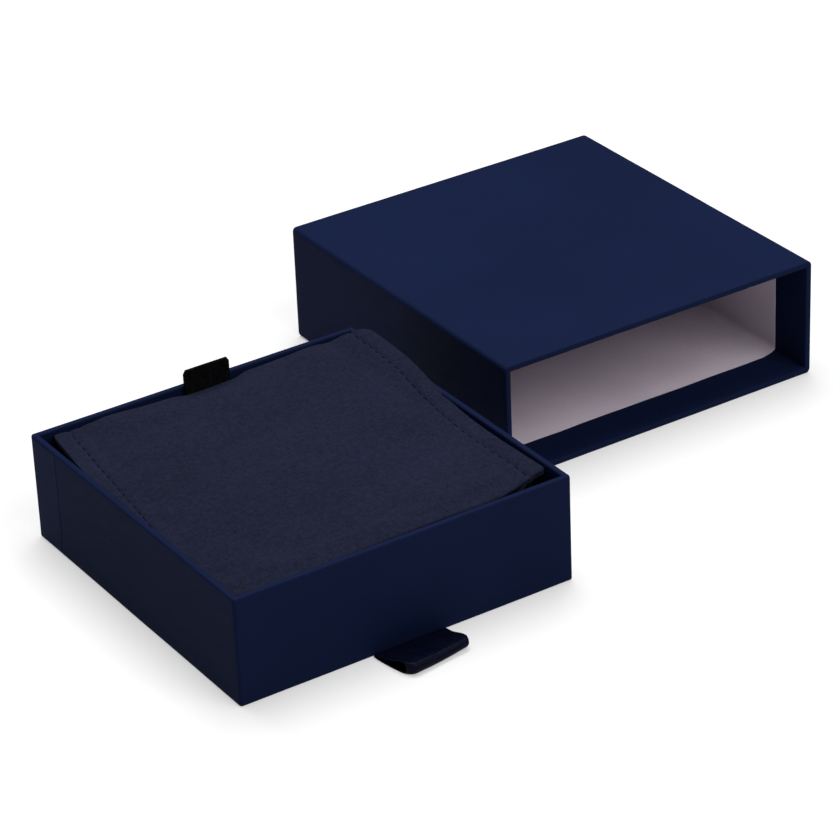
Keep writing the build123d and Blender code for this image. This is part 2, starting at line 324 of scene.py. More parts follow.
def edge_wear_and_highlight_group():
    """Rubbed edges of a box, which also serve as a painted highlight on its rims: a broken band
    along the edges of a block of a given size.
    """
    nodes, into, out = shader_group(
        "Edge Wear And Highlight",
        {"Vector": ("NodeSocketVector", None), "Centre": ("NodeSocketVector", (0, 0, 0)),
         "Half Size": ("NodeSocketVector", (0.1, 0.1, 0.1)),
         "Width": ("NodeSocketFloat", 0.6), "Amount": ("NodeSocketFloat", 0.5)},
        ("Mask",))
    offset = nodes.vector_math("SUBTRACT", into["Vector"], into["Centre"])
    distance = nodes.vector_math("SUBTRACT", into["Half Size"],
                                 nodes.vector_math("ABSOLUTE", offset))
    x, y, z = nodes.add("ShaderNodeSeparateXYZ", {0: distance}).outputs
    larger = nodes.math("MINIMUM", nodes.math("MAXIMUM", x, y), z)
    second = nodes.math("MAXIMUM", nodes.math("MINIMUM", x, y), larger)
    band = nodes.math("MULTIPLY", into["Width"], MM)
    near = nodes.remap(nodes.math("DIVIDE", second, band), 0.1, 1.0, 1.0, 0.0)
    broken = nodes.noise(into["Vector"], 420.0, 4.0, 0.65)
    threshold = nodes.math("SUBTRACT", 0.78, nodes.math("MULTIPLY", into["Amount"], 0.4))
    rubbed = nodes.remap(nodes.math("SUBTRACT", broken, threshold), -0.06, 0.10)
    nodes.tree.links.new(nodes.math("MULTIPLY", near, rubbed, clamp=True), out["Mask"])
    return nodes.tree


def dust_group():
    """A few pale specks of dust, at random."""
    nodes, into, out = shader_group(
        "Dust Specks",
        {"Vector": ("NodeSocketVector", None), "Spacing": ("NodeSocketFloat", 6.0),
         "Speck Size": ("NodeSocketFloat", 0.12), "Share": ("NodeSocketFloat", 0.3)},
        ("Mask",))
    cells = nodes.add("ShaderNodeTexVoronoi", {"Vector": into["Vector"],
                                               "Scale": frequency(nodes, into["Spacing"])})
    size = nodes.math("DIVIDE", into["Speck Size"], into["Spacing"])
    inside = nodes.math("LESS_THAN", cells.outputs["Distance"], size)
    chance = nodes.add("ShaderNodeSeparateColor", {0: cells.outputs["Color"]}).outputs[0]
    chosen = nodes.math("LESS_THAN", chance, into["Share"])
    nodes.tree.links.new(nodes.math("MULTIPLY", inside, chosen), out["Mask"])
    return nodes.tree


def nap_group():
    """Brushed pile: short fibres lying in patches."""
    nodes, into, out = shader_group(
        "Brushed Nap",
        {"Vector": ("NodeSocketVector", None), "Fibre Size": ("NodeSocketFloat", 0.22),
         "Patch Size": ("NodeSocketFloat", 3.0), "Drift Size": ("NodeSocketFloat", 24.0)},
        ("Height", "Tone"))
    patch = nodes.noise(into["Vector"], frequency(nodes, into["Patch Size"]), 3.0, 0.6)
    lean = nodes.math("MULTIPLY", patch, 0.0006)
    shifted = nodes.vector_math("ADD", into["Vector"], nodes.add(
        "ShaderNodeCombineXYZ", {0: lean, 1: lean, 2: 0.0}).outputs[0])
    fibre = nodes.noise(shifted, frequency(nodes, into["Fibre Size"]), 4.0, 0.75)
    mottle = nodes.noise(into["Vector"], frequency(nodes, into["Patch Size"]), 5.0, 0.8)
    nodes.tree.links.new(fibre, out["Height"])
    drift = nodes.noise(into["Vector"], frequency(nodes, into["Drift Size"]), 2.0, 0.5)
    tone = nodes.math("MULTIPLY_ADD", mottle, 0.42, nodes.math("MULTIPLY", fibre, 0.46))
    tone = nodes.math("MULTIPLY_ADD", drift, 0.12, tone)
    nodes.tree.links.new(tone, out["Tone"])
    return nodes.tree


def threads_group():
    """Fine parallel threads across one direction."""
    nodes, into, out = shader_group(
        "Woven Threads",
        {"Vector": ("NodeSocketVector", None), "Across": ("NodeSocketVector", (1, 0, 0)),
         "Thread Pitch": ("NodeSocketFloat", 0.2)},
        ("Height", "Tone"))
    place = nodes.add("ShaderNodeVectorMath", {0: into["Vector"], 1: into["Across"]},
                      operation="DOT_PRODUCT").outputs["Value"]
    turns = nodes.math("MULTIPLY", place, frequency(nodes, into["Thread Pitch"]))
    wave = nodes.math("SINE", nodes.math("MULTIPLY", turns, 2 * math.pi))
    slub = nodes.noise(into["Vector"], 900.0, 3.0, 0.6)
    height = nodes.math("MULTIPLY_ADD", wave, 0.3, slub)
    nodes.tree.links.new(height, out["Height"])
    nodes.tree.links.new(slub, out["Tone"])
    return nodes.tree


GROUP_MAKERS = {
    "Paper Grain": paper_grain_group, "Edge Wear And Highlight": edge_wear_and_highlight_group,
    "Dust Specks": dust_group, "Brushed Nap": nap_group, "Woven Threads": threads_group,
}


def effect(nodes, name, **values):
    """Places a shared effect in a material and gives its outputs."""
    tree = bpy.data.node_groups.get(name) or GROUP_MAKERS[name]()
    node = nodes.add("ShaderNodeGroup", node_tree=tree)
    nodes.tree.links.new(object_place(nodes), node.inputs["Vector"])
    for label, value in values.items():
        node.inputs[label.replace("_", " ").title()].default_value = value
    return node.outputs


def object_place(nodes):
    """The object's own coordinates, which are the shared frame's."""
    found = [n for n in nodes.tree.nodes if n.type == "TEX_COORD"]
    node = found[0] if found else nodes.add("ShaderNodeTexCoord")
    return node.outputs["Object"]


def start_material(name, **shader_values):
    """A new material with a Principled shader. Returns it, its tree and the shader."""
    material = bpy.data.materials.new(name)
    material.use_nodes = True
    nodes = NodeTree(material.node_tree)
    shader = next(n for n in material.node_tree.nodes if n.type == "BSDF_PRINCIPLED")
    for label, value in shader_values.items():
        shader.inputs[label.replace("_", " ")].default_value = value
    return material, nodes, shader


def drive(nodes, shader, label, value):
    """Joins a value to one of the shader's sockets."""
    nodes.tree.links.new(value, shader.inputs[label])


def add_bump(nodes, shader, height, distance, strength=1.0):
    """Gives the shader its fine relief; distance is its depth in metres."""
    bump = nodes.add("ShaderNodeBump", {"Height": height, "Distance": distance,
                                        "Strength": strength})
    drive(nodes, shader, "Normal", bump.outputs[0])


def rgba(colour, times=1.0):
    """A colour times a factor, no channel over 1, with full opacity."""
    return (*(min(c * times, 1.0) for c in colour[:3]), 1.0)


def toned(nodes, colour, tone, darker, lighter):
    """A colour that wavers between a darker and a lighter shade of itself."""
    share = nodes.remap(tone, 0.38, 0.62)
    return nodes.blend(share, rgba(colour, darker), rgba(colour, lighter))


def once(name, make):
    """The material of that name, made the first time that it is asked for."""
    return bpy.data.materials.get(name) or make(name)


def covering_paper(name, colour, low, high):
    """Navy covering paper of a box between two corners: fine tooth, rubbed edges that also
    carry a painted highlight, dust.
    """
    material, nodes, shader = start_material(name, Specular_IOR_Level=0.012)
    grain = effect(nodes, "Paper Grain", grain_size=0.30, blotch_size=60.0)
    centre, half = (low + high) / 2, (high - low) / 2
    wear_and_highlight = effect(nodes, "Edge Wear And Highlight", centre=centre, half_size=half, width=0.8, amount=0.20)
    dust = effect(nodes, "Dust Specks", spacing=9.0, speck_size=0.16, share=0.16)
    base = toned(nodes, colour, grain["Tone"], 0.91, 1.06)
    # The edge band is blended towards a paler navy: partly rubbed wear, partly a painted
    # highlight on the lit rims.
    worn_and_highlighted = nodes.blend(nodes.math("MULTIPLY", wear_and_highlight["Mask"], 0.30), base,
                       rgba((0.030, 0.038, 0.075)))
    dusty = nodes.blend(nodes.math("MULTIPLY", dust["Mask"], 0.30), worn_and_highlighted,
                        rgba((0.16, 0.16, 0.19)))
    drive(nodes, shader, "Base Color", dusty)
    drive(nodes, shader, "Roughness", nodes.remap(grain["Height"], 0.3, 0.7, 0.50, 0.64))
    add_bump(nodes, shader, grain["Height"], 0.035 * MM, 0.8)
    return material


def lining_paper(name):
    """Pale uncoated paper with visible fibres."""
    colour = bpy.context.scene.gift_box_paper.lining
    material, nodes, shader = start_material(name, Roughness=0.85, Specular_IOR_Level=0.25)
    grain = effect(nodes, "Paper Grain", grain_size=0.5, fibre_length=3.0)
    drive(nodes, shader, "Base Color", toned(nodes, colour, grain["Tone"], 0.95, 1.04))
    add_bump(nodes, shader, grain["Height"], 0.05 * MM, 0.7)
    return material


def brushed_suede(name):
    """Microfibre suede: a nap that lies in faint patches, with a soft sheen."""
    colour = bpy.context.scene.gift_box_pouch.colour
    material, nodes, shader = start_material(
        name, Roughness=0.92, Specular_IOR_Level=0.03, Sheen_Weight=0.02, Sheen_Roughness=0.55,
        Sheen_Tint=(0.62, 0.68, 0.85, 1.0))
    nap = effect(nodes, "Brushed Nap", fibre_size=0.42, patch_size=1.3)
    drive(nodes, shader, "Base Color", toned(nodes, colour, nap["Tone"], 0.58, 1.30))
    add_bump(nodes, shader, nap["Height"], 0.12 * MM, 0.9)
    return material


def short_flock(name):
    """Black flocked cloth."""
    material, nodes, shader = start_material(
        name, Roughness=0.97, Specular_IOR_Level=0.02, Sheen_Weight=0.004,
        Sheen_Roughness=0.4)
    nap = effect(nodes, "Brushed Nap", fibre_size=0.18, patch_size=6.0)
    drive(nodes, shader, "Base Color",
          toned(nodes, (0.0020, 0.0020, 0.0026), nap["Tone"], 0.8, 1.3))
    add_bump(nodes, shader, nap["Height"], 0.10 * MM, 0.8)
    return material


def satin_ribbon(name):
    """Navy satin: fine warp threads along the ribbon and a low, soft gloss."""
    # Its base colour is darker than the ribbon's own navy: painted shade from the front wall.
    colour = bpy.context.scene.gift_box_ribbon.colour
    material, nodes, shader = start_material(
        name, Roughness=0.42, Specular_IOR_Level=0.035, Anisotropic=0.35)
    threads = effect(nodes, "Woven Threads", across=(1, 0, 0), thread_pitch=0.24)
    drive(nodes, shader, "Base Color", toned(nodes, colour, threads["Tone"], 0.75, 1.3))
    add_bump(nodes, shader, threads["Height"], 0.03 * MM, 0.8)
    return material


def ribbed_ribbon(name):
    """Black ribbed ribbon: its ribs are modelled, and the threads over them are fine."""
    material, nodes, shader = start_material(name, Roughness=0.8, Specular_IOR_Level=0.03)
    threads = effect(nodes, "Woven Threads", across=(1, 0, 0), thread_pitch=0.18)
    drive(nodes, shader, "Base Color",
          toned(nodes, (0.0030, 0.0027, 0.0034), threads["Tone"], 0.7, 1.5))
    add_bump(nodes, shader, threads["Height"], 0.04 * MM, 0.9)
    return material


def grey_board(name):
    """Unbleached board of pressed fibres."""
    material, nodes, shader = start_material(name, Roughness=0.9, Specular_IOR_Level=0.2)
    grain = effect(nodes, "Paper Grain", grain_size=0.45, fibre_length=2.0, blotch_size=9.0)
    drive(nodes, shader, "Base Color",
          toned(nodes, (0.150, 0.137, 0.118), grain["Tone"], 0.72, 1.2))
    add_bump(nodes, shader, grain["Height"], 0.06 * MM)
    return material


def gummed_tape(name):
    """Brown kraft tape."""
    material, nodes, shader = start_material(name, Roughness=0.75, Specular_IOR_Level=0.3)
    grain = effect(nodes, "Paper Grain", grain_size=0.4, fibre_length=4.0, blotch_size=6.0)
    drive(nodes, shader, "Base Color",
          toned(nodes, (0.38, 0.25, 0.14), grain["Tone"], 0.8, 1.12))
    add_bump(nodes, shader, grain["Height"], 0.04 * MM)
    return material


def open_foam(name):
    """Black open-cell foam."""
    material, nodes, shader = start_material(name, Roughness=0.95, Specular_IOR_Level=0.1)
    cells = nodes.add("ShaderNodeTexVoronoi", {"Vector": object_place(nodes),
                                               "Scale": 1 / (0.55 * MM)})
    # The hollows are drawn darker than the cell walls: painted shade in the pores.
    hollow = nodes.remap(cells.outputs["Distance"], 0.15, 0.6)
    drive(nodes, shader, "Base Color",
          nodes.blend(hollow, rgba((0.030, 0.030, 0.033)), rgba((0.010, 0.010, 0.012))))
    add_bump(nodes, shader, hollow, -0.25 * MM)
    return material


def loose_wadding(name):
    """White fibre filling."""
    material, nodes, shader = start_material(name, Roughness=1.0, Sheen_Weight=0.3)
    nap = effect(nodes, "Brushed Nap", fibre_size=0.6, patch_size=5.0)
    drive(nodes, shader, "Base Color",
          toned(nodes, (0.66, 0.65, 0.62), nap["Tone"], 0.85, 1.1))
    add_bump(nodes, shader, nap["Height"], 0.35 * MM)
    return material


def sewing_thread(name):
    """Twisted navy thread."""
    material, nodes, shader = start_material(name, Roughness=0.7, Specular_IOR_Level=0.02)
    threads = effect(nodes, "Woven Threads", across=(0.6, 0.8, 0), thread_pitch=0.3)
    drive(nodes, shader, "Base Color",
          toned(nodes, (0.0036, 0.0047, 0.0125), threads["Tone"], 0.6, 1.4))
    add_bump(nodes, shader, threads["Height"], 0.03 * MM)
    return material


def sleeve_paper(name):
    colour = bpy.context.scene.gift_box_paper.colour
    return covering_paper(name, colour, SLEEVE_LOW, SLEEVE_HIGH)


def drawer_paper(name):
    colour = bpy.context.scene.gift_box_paper.colour
    low = Vector((DRAWER_LOW.x, DRAWER_LOW.y, 0))
    high = Vector((DRAWER_HIGH.x, DRAWER_HIGH.y, DRAWER_TOP))
    return covering_paper(name, colour, low, high)


def lapped_paper(name):
    colour = [c * 1.14 for c in bpy.context.scene.gift_box_paper.colour]
    low = Vector((DRAWER_LOW.x, DRAWER_LOW.y, 0))
    high = Vector((DRAWER_HIGH.x, DRAWER_HIGH.y, DRAWER_TOP))
    return covering_paper(name, colour, low, high)


MATERIAL_MAKERS = {
    "Sleeve Covering Paper": sleeve_paper, "Drawer Covering Paper": drawer_paper,
    "Lapped Covering Paper": lapped_paper,
    "Lining Paper": lining_paper, "Navy Suede": brushed_suede, "Black Flock": short_flock,
    "Navy Satin Ribbon": satin_ribbon, "Black Ribbed Ribbon": ribbed_ribbon,
    "Grey Board": grey_board, "Gummed Tape": gummed_tape, "Black Foam": open_foam,
    "White Wadding": loose_wadding, "Navy Thread": sewing_thread,
}


def material_of(name):
    return once(name, MATERIAL_MAKERS[name])


# ------------------------------------------------------------------ mesh building
def mesh_from(name, points, faces):
    """A mesh with its faces turned outwards."""
    mesh = bpy.data.meshes.new(name)
    mesh.from_pydata([tuple(p) for p in points], [], faces)
    shell = bmesh.new()
    shell.from_mesh(mesh)
    bmesh.ops.recalc_face_normals(shell, faces=shell.faces)
    shell.to_mesh(mesh)
    shell.free()
    mesh.validate()
    return mesh


def add_piece(name, mesh, body, material, stands_for=(), flat_angle=None):
    """Puts a mesh in the scene as a piece that rides on a body."""
    piece = bpy.data.objects.new(name, mesh)
    bpy.context.scene.collection.objects.link(piece)
    mesh.materials.clear()
    mesh.materials.append(material_of(material))
    mesh.shade_smooth()
    if flat_angle is not None:
        mesh.set_sharp_from_angle(angle=math.radians(flat_angle))
    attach(piece, body)
    if stands_for:
        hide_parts(*stands_for)
    return piece


def baked(piece):
    """Applies a piece's modifiers, so that its mesh is plain."""
    graph = bpy.context.evaluated_depsgraph_get()
    mesh = bpy.data.meshes.new_from_object(piece.evaluated_get(graph))
    piece.modifiers.clear()
    piece.data = mesh
    return piece


def rounded_outline(half_w, half_h, radius, side_steps, corner_steps):
    """Points anticlockwise round a rectangle with rounded corners."""
    corners = []
    for quarter, (x, y) in enumerate(((1, 1), (-1, 1), (-1, -1), (1, -1))):
        centre = (x * (half_w - radius), y * (half_h - radius))
        corners.append(arc(centre, radius, 90 * quarter, 90 * quarter + 90, corner_steps))
    points = []
    for quarter, corner in enumerate(corners):
        following = corners[(quarter + 1) % 4][0]
        points += corner + run(corner[-1], following, side_steps)
    return points


def swept_shell(name, profile, half_w, half_h, radius, place, steps=(26, 7)):
    """A closed shell: a closed profile of (inset, along) carried round a rounded rectangle."""
    least_radius = 0.22 * MM
    points, rings = [], len(profile)
    for inset, along in profile:
        ring = rounded_outline(half_w - inset, half_h - inset,
                               max(radius - inset, least_radius), *steps)
        points += [place(a, b, along) for a, b in ring]
    count = len(points) // rings
    faces = []
    for ring in range(rings):
        here, there = ring * count, (ring + 1) % rings * count
        for i in range(count):
            j = (i + 1) % count
            faces.append((here + i, here + j, there + j, there + i))
    return mesh_from(name, points, faces)


def tidy_copy(node, bevel):
    """A CAD node's mesh with its triangles joined and its sharp edges just broken."""
    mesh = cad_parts[node].data.copy()
    solid = bmesh.new()
    solid.from_mesh(mesh)
    bmesh.ops.remove_doubles(solid, verts=solid.verts, dist=0.002 * MM)
    bmesh.ops.dissolve_limit(solid, angle_limit=math.radians(1), verts=solid.verts,
                             edges=solid.edges)
    sharp = [e for e in solid.edges if e.is_manifold and e.calc_face_angle() > 0.6]
    bmesh.ops.bevel(solid, geom=sharp, offset=bevel, segments=2, affect="EDGES",
                    clamp_overlap=True)
    solid.to_mesh(mesh)
    solid.free()
    mesh.name = node
    return mesh


def add_tidy(node, body, material, bevel):
    """A rigid piece whose CAD shape is right, with its edges broken."""
    name = node + "_finished"
    return add_piece(name, tidy_copy(node, bevel), body, material, (node,), 40)


# ------------------------------------------------------------------ repeats along a path
def repeat_tree(name, along_path):
    """Geometry Nodes: rounded rods laid along a path, or across it to the sides.

    Along the path they are stitches; across it, with the path's own half widths in the
    attribute reach, they are the ribs of a ribbon.
    """
    tree = bpy.data.node_groups.new(name, "GeometryNodeTree")
    face = tree.interface
    face.new_socket("Geometry", in_out="INPUT", socket_type="NodeSocketGeometry")
    for label, default in (("Pitch", 3.0 * MM), ("Length", 2.0 * MM), ("Width", 0.4 * MM)):
        socket = face.new_socket(label, in_out="INPUT", socket_type="NodeSocketFloat")
        socket.default_value = default
    face.new_socket("Seed", in_out="INPUT", socket_type="NodeSocketInt").default_value = 3
    face.new_socket("Material", in_out="INPUT", socket_type="NodeSocketMaterial")
    face.new_socket("Geometry", in_out="OUTPUT", socket_type="NodeSocketGeometry")
    nodes = NodeTree(tree)
    into = nodes.add("NodeGroupInput").outputs
    curve = nodes.add("GeometryNodeMeshToCurve", {0: into["Geometry"]}).outputs[0]
    points = nodes.add("GeometryNodeCurveToPoints", {"Curve": curve, "Length": into["Pitch"]},
                       mode="LENGTH")
    rod = nodes.add("GeometryNodeMeshUVSphere", {"Segments": 8, "Rings": 6, "Radius": 0.5})
    if along_path:
        turn = nodes.add("FunctionNodeAlignRotationToVector",
                         {"Vector": points.outputs["Tangent"]}, axis="X").outputs[0]
        wobble = nodes.add("FunctionNodeRandomValue", {"Min": (-0.05, -0.05, -0.10),
                           "Max": (0.05, 0.05, 0.10), "Seed": into["Seed"]},
                           data_type="FLOAT_VECTOR").outputs[0]
        turn = nodes.add("FunctionNodeRotateRotation", {0: turn, 1: wobble}).outputs[0]
        length = into["Length"]
    else:
        turn = (0.0, 0.0, 0.0)
        reach = nodes.add("GeometryNodeInputNamedAttribute", {"Name": "reach"},
                          data_type="FLOAT").outputs[0]
        length = nodes.math("MULTIPLY", reach, 2.0)
        rod = nodes.add("GeometryNodeMeshCylinder", {"Vertices": 8, "Side Segments": 3,
                                                     "Radius": 0.5, "Depth": 1.0})
        rod = nodes.add("GeometryNodeTransform", {0: rod.outputs[0],
                        "Rotation": (0.0, math.pi / 2, 0.0)})
    size = nodes.add("ShaderNodeCombineXYZ", {0: length, 1: into["Width"],
                                              2: into["Width"]}).outputs[0]
    rods = nodes.add("GeometryNodeInstanceOnPoints",
                     {"Points": points.outputs["Points"], "Instance": rod.outputs[0],
                      "Rotation": turn, "Scale": size})
    plain = nodes.add("GeometryNodeRealizeInstances", {0: rods.outputs[0]}).outputs[0]
    done = nodes.add("GeometryNodeSetMaterial", {0: plain, "Material": into["Material"]})
    nodes.add("NodeGroupOutput", {0: done.outputs[0]})
    return tree


def repeat_along(name, path, tree_name, along_path, material, reach=None, **sizes):
    """A plain mesh of rods along a list of points, made by the Geometry Nodes tree."""
    mesh = bpy.data.meshes.new(name + "_path")
    mesh.from_pydata([tuple(p) for p in path], [(i, i + 1) for i in range(len(path) - 1)], [])
    if reach:
        layer = mesh.attributes.new("reach", "FLOAT", "POINT")
        layer.data.foreach_set("value", reach)
    holder = bpy.data.objects.new(name + "_path", mesh)
    bpy.context.scene.collection.objects.link(holder)
    tree = bpy.data.node_groups.get(tree_name) or repeat_tree(tree_name, along_path)
    modifier = holder.modifiers.new("Repeat", "NODES")
    modifier.node_group = tree
    values = {"Material": material_of(material), **{k.title(): v for k, v in sizes.items()}}
    for item in tree.interface.items_tree:
        if item.in_out == "INPUT" and item.name in values:
            modifier[item.identifier] = values[item.name]
    graph = bpy.context.evaluated_depsgraph_get()
    result = bpy.data.meshes.new_from_object(holder.evaluated_get(graph))
    result.name = name
    bpy.data.objects.remove(holder)
    return result


# ------------------------------------------------------------------ sleeve
def sleeve_cover_profile(paper, depth):
    """Covering paper from its edge on the back, over the outside and into the mouth."""
    edge = paper.mouth_edge
    back_edge = 0.7 * MM
    front, back = -LIFT, depth + LIFT
    outer, inner = -LIFT, WALL + LIFT
    end = paper.turn_in + 3 * MM
    outside = [(paper.back_turn, back)]
    outside += run((paper.back_turn, back), (outer + back_edge, back), 5)
    outside += arc((outer + back_edge, back - back_edge), back_edge, 90, 180, 6)
    outside += run((outer, back - back_edge), (outer, front + edge), 44)
    outside += arc((outer + edge, front + edge), edge, 180, 270, 6)
    outside += run((outer + edge, front), (inner - edge, front), 2)
    outside += arc((inner - edge, front + edge), edge, 270, 360, 6)
    outside += run((inner, front + edge), (inner, end), 9)
    outside += [(inner, end), (inner - PAPER, end)]
    hidden = run((inner - PAPER, end), (inner - PAPER, front + PAPER), 4)
    hidden += [(inner - PAPER, front + PAPER), (outer + PAPER, front + PAPER)]
    hidden += run((outer + PAPER, front + PAPER), (outer + PAPER, back - PAPER), 44)
    hidden += [(outer + PAPER, back - PAPER), (paper.back_turn, back - PAPER)]
    return outside + hidden


class GIFTBOX_OT_sleeve(bpy.types.Operator):
    """Cover and line the slipcase sleeve"""
    bl_idname = "gift_box.sleeve"
    bl_label = "Sleeve"

    def execute(self, context):
        paper = context.scene.gift_box_paper
        size, centre = SLEEVE_HIGH - SLEEVE_LOW, (SLEEVE_LOW + SLEEVE_HIGH) / 2

        def place(a, b, along):
            point = Vector((centre.x + a, SLEEVE_LOW.y + along, centre.z + b))
            return point + uneven(point, paper.bow, 34 * MM, 1) + \
                uneven(point, 0.25 * paper.bow, 5 * MM, 2)

        cover = swept_shell("sleeve_cover", sleeve_cover_profile(paper, size.y), size.x / 2,
                            size.z / 2, paper.long_edge, place)
        add_piece("sleeve_cover", cover, "sleeve", "Sleeve Covering Paper",
                  ("sleeve_wrap",), 50)
        lining = sleeve_lining(place, size, paper)
        add_piece("sleeve_lining", lining, "sleeve", "Lining Paper",
                  ("sleeve_liner",), 50)
        add_tidy("sleeve_back_paper", "sleeve", "Sleeve Covering Paper",
                 0.04 * MM)
        for node, material in (("sleeve_board", "Grey Board"),
                               ("sleeve_back_board", "Grey Board"),
                               ("sleeve_seam_tape", "Gummed Tape")):
            paint_node(node, material)
        return {"FINISHED"}


def paint_node(node, material):
    """A CAD node that is shown as it is gets its finish."""
    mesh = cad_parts[node].data
    mesh.materials.clear()
    mesh.materials.append(material_of(material))


def lining_slip(a, b, size):
    """How far the lining's front edge strays from straight, round the mouth."""
    right = ease(0.455, 0.478, a / size.x)
    waver = noise.noise(Vector((a * 130, b * 130, 2.6)))
    return (1.3 * right + 0.16 * waver) * MM


def sleeve_lining(place, size, paper):
    """Pale paper in the sleeve, with its front edge laid over the covering's turned-in edge."""
    proud = LIFT + 0.12 * MM
    inner, outer = WALL + proud, WALL - PAPER
    front = paper.turn_in
    end = LINER_HIGH.y - SLEEVE_LOW.y
    steps = (26, 7)
    profile = [(outer + proud, front), (inner, front)]
    profile += run((inner, front), (inner, end - PAPER), 26) + [(inner, end - PAPER)]
    outside = [(outer, end)] + run((outer, end), (outer, front), 26) + [(outer, front)]
    points, faces = [], []
    for inset, along in profile + outside:
        ring = rounded_outline(size.x / 2 - inset, size.z / 2 - inset, 1.3 * MM, *steps)
        if along <= front:
            points += [place(a, b, along + lining_slip(a, b, size)) for a, b in ring]
        else:
            points += [place(a, b, along) for a, b in ring]
    count = len(ring)
    rings = len(profile) + len(outside)
    split = len(profile) - 1
    for r in range(rings):
        if r == split:
            continue
        here, there = r * count, (r + 1) % rings * count
        for i in range(count):
            j = (i + 1) % count
            faces.append((here + i, here + j, there + j, there + i))
    faces.append(tuple(range(split * count, (split + 1) * count)))
    faces.append(tuple(range((split + 1) * count, (split + 2) * count)))
    return mesh_from("sleeve_lining", points, faces)


# ------------------------------------------------------------------ drawer
def drawer_cover_profile(paper):
    """Covering paper from under the base, up the outside, over the rim and down the inside."""
    low, high, rim = 0.05 * MM, DRAWER_TOP + LIFT, paper.rim_edge
    outer, inner = -LIFT, WALL + LIFT
    foot = 0.35 * MM
    floor = DRAWER_FLOOR + 0.02 * MM
    profile = [(1.4 * MM, low), (outer + foot, low)]
    profile += arc((outer + foot, low + foot), foot, 270, 180, 4)[1:]
    profile += run((outer, low + foot), (outer, high - rim), 16)
    profile += arc((outer + rim, high - rim), rim, 180, 90, 6)
    profile += run((outer + rim, high), (inner - rim, high), 2)
    profile += arc((inner - rim, high - rim), rim, 90, 0, 6)
    profile += run((inner, high - rim), (inner, floor), 14)
    profile += [(inner, floor), (inner - PAPER, floor)]
    profile += [(inner - PAPER, high - PAPER), (outer + PAPER, high - PAPER),
                (outer + PAPER, low + PAPER), (1.4 * MM, low + PAPER)]
    return profile


class GIFTBOX_OT_drawer(bpy.types.Operator):
    """Cover the drawer, with the lapped end of its paper"""
    bl_idname = "gift_box.drawer"
    bl_label = "Drawer"

    def execute(self, context):
        paper = context.scene.gift_box_paper
        size, centre = DRAWER_HIGH - DRAWER_LOW, (DRAWER_LOW + DRAWER_HIGH) / 2

        def place(a, b, along):
            point = Vector((centre.x + a, centre.y + b, along))
            return point + uneven(point, paper.bow, 30 * MM, 5) + \
                uneven(point, 0.3 * paper.bow, 5 * MM, 6)

        cover = swept_shell("drawer_cover", drawer_cover_profile(paper), size.x / 2,
                            size.y / 2, paper.drawer_corner, place, (40, 7))
        add_piece("drawer_cover", cover, "drawer", "Drawer Covering Paper",
                  ("drawer_wrap",), 50)
        lap = drawer_lap(paper)
        add_piece("drawer_cover_lap", lap, "drawer", "Lapped Covering Paper",
                  (), 50)
        for node, bevel in (("drawer_base_sheet", 0.04 * MM), ("drawer_floor_card", 0.2 * MM)):
            add_tidy(node, "drawer", "Drawer Covering Paper", bevel)
        for node, material in (("drawer_board", "Grey Board"),
                               ("drawer_corner_tapes", "Gummed Tape"),
                               ("pull_ribbon_tails", "Navy Satin Ribbon")):
            paint_node(node, material)
        return {"FINISHED"}


def drawer_lap(paper):
    """The covering paper's end: a thin strip on the left wall, feathered into the corner."""
    lift = 0.06 * MM
    rows, columns = 18, 12
    low, high = PAPER + 0.3 * MM, DRAWER_TOP - 0.55 * MM
    points = []
    for side in (1, 0):
        for row in range(rows + 1):
            z = mix(low, high, row / rows)
            waver = 0.10 * MM * noise.noise(Vector((z * 160, 2.0, 0.0)))
            foot = 0.9 * MM * ease(7 * MM, 0, z)
            seam = DRAWER_HIGH.y - paper.lap + foot + waver
            for column in range(columns + 1):
                share = column / columns
                y = mix(seam, DRAWER_HIGH.y - paper.drawer_corner * 0.9, share)
                out = LIFT + lift * (1 - ease(0.72, 1.0, share)) if side else 0.02 * MM
                x = DRAWER_LOW.x - out
                point = Vector((x, y, z))
                points.append(point + uneven(point, paper.bow, 30 * MM, 5) +
                              uneven(point, 0.3 * paper.bow, 5 * MM, 6))
    return mesh_from("drawer_cover_lap", points, slab_faces(rows, columns))


def slab_faces(rows, columns):
    """Faces of a closed slab whose two sides are grids listed one after the other."""
    width = columns + 1
    layer = (rows + 1) * width
    faces = []
    for base in (0, layer):
        for row in range(rows):
            for column in range(columns):
                a = base + row * width + column
                faces.append((a, a + 1, a + width + 1, a + width))
    border = [(r * width, (r + 1) * width) for r in range(rows)]
    border += [((r + 1) * width + columns, r * width + columns) for r in range(rows)]
    border += [(c + 1, c) for c in range(columns)]
    border += [(rows * width + c, rows * width + c + 1) for c in range(columns)]
    faces += [(a, b, b + layer, a + layer) for a, b in border]
    return faces


# ------------------------------------------------------------------ pull ribbon
PULL_LEFT, PULL_RIGHT = 34.5, 53.9        # mm from the drawer's left, at the front
PULL_REACH_LEFT, PULL_REACH_RIGHT = 12.9, 10.6
PULL_FOLD = 1.42                          # half the loop's height at its outer fold


